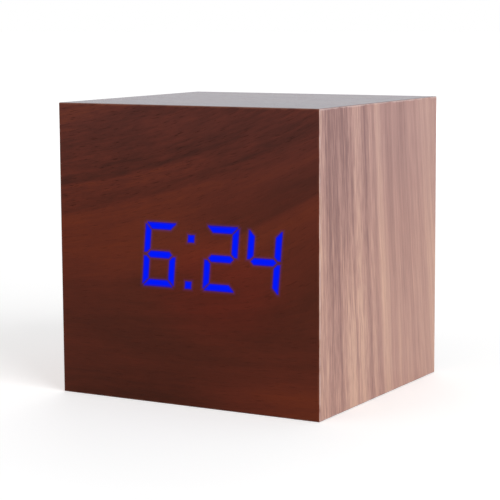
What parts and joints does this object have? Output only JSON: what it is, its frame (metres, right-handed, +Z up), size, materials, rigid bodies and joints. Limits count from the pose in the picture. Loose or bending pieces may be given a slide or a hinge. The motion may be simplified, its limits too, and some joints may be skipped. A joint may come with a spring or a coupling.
{
  "type": "wooden digital clock",
  "caption": "Box-shaped alarm clock in a dark wood veneer, with glowing segment digits that shine through its front and a back cover with buttons, a battery bay and a power inlet.",
  "frame": {"origin": "middle of the underside, where the clock stands", "axes": "+Z up, -Y out of the front with the digits, +X to the right as the digits are read"},
  "size_m": [0.062, 0.056, 0.062],
  "materials": {
    "walnut_veneer": "satin dark walnut grain",
    "fibre_board": "raw fibreboard",
    "lit_segment": "glowing blue",
    "dark_segment": "milky, unlit",
    "white_moulding": "white moulding",
    "led_chip": "clear yellow resin",
    "circuit_board": "green solder mask",
    "chip_black": "moulded resin",
    "bright_metal": "bright nickel plate",
    "screw_steel": "zinc plated",
    "black_cover": "fine spark texture",
    "black_button": "smooth satin",
    "switch_plunger": "moulded",
    "cell_sleeve": "printed sleeve over a metal can",
    "red_lead": "insulated wire",
    "black_lead": "insulated wire",
    "grey_ribbon": "flat ribbon cable"
  },
  "bodies": {
    "case": {"front_veneer": "walnut_veneer", "top_veneer": "walnut_veneer", "bottom_veneer": "walnut_veneer", "left_veneer": "walnut_veneer", "right_veneer": "walnut_veneer", "rear_edging": "walnut_veneer", "front_board": "fibre_board", "top_board": "fibre_board", "bottom_board": "fibre_board", "left_board": "fibre_board", "right_board": "fibre_board", "corner_blocks": "fibre_board", "lit_segments": "lit_segment", "dark_segments": "dark_segment", "light_baffle": "white_moulding", "power_plug": "white_moulding", "button_plug": "white_moulding", "led_chips": "led_chip", "main_board": "circuit_board", "button_board": "circuit_board", "clock_chip": "chip_black", "resistors": "chip_black", "buzzer": "chip_black", "set_switch": "chip_black", "up_switch": "chip_black", "down_switch": "chip_black", "crystal": "bright_metal", "capacitor": "bright_metal", "sound_sensor": "bright_metal", "battery_spring_1": "bright_metal", "battery_spring_2": "bright_metal", "battery_spring_3": "bright_metal", "positive_plate": "bright_metal", "negative_plate": "bright_metal", "left_link_plate": "bright_metal", "right_link_plate": "bright_metal", "dc_jack_pin": "bright_metal", "dc_jack_lugs": "bright_metal", "board_screws": "screw_steel", "cover_screws": "screw_steel", "button_board_screws": "screw_steel", "back_cover": "black_cover", "dc_jack": "black_cover", "battery_cell_1": "cell_sleeve", "battery_cell_2": "cell_sleeve", "battery_cell_3": "cell_sleeve", "battery_lead_red": "red_lead", "jack_lead_red": "red_lead", "battery_lead_black": "black_lead", "jack_lead_black": "black_lead", "button_ribbon": "grey_ribbon"},
    "set_button": {"set_button": "black_button", "set_plunger": "switch_plunger"},
    "up_button": {"up_button": "black_button", "up_plunger": "switch_plunger"},
    "down_button": {"down_button": "black_button", "down_plunger": "switch_plunger"},
    "battery_door": {"battery_door": "black_cover"}
  },
  "joints": [
    {"name": "set_button_press", "type": "slide", "parent": "case", "child": "set_button", "axis": [0, -1, 0], "range_m": [0, 0.0005], "stiffness_N_per_m": 1600},
    {"name": "up_button_press", "type": "slide", "parent": "case", "child": "up_button", "axis": [0, -1, 0], "range_m": [0, 0.0005], "stiffness_N_per_m": 1600},
    {"name": "down_button_press", "type": "slide", "parent": "case", "child": "down_button", "axis": [0, -1, 0], "range_m": [0, 0.0005], "stiffness_N_per_m": 1600},
    {"name": "battery_door_hinge", "type": "hinge", "parent": "case", "child": "battery_door", "pos_m": [0, 0.0256, 0.01375], "axis": [-1, 0, 0], "range_deg": [0, 90]}
  ]
}
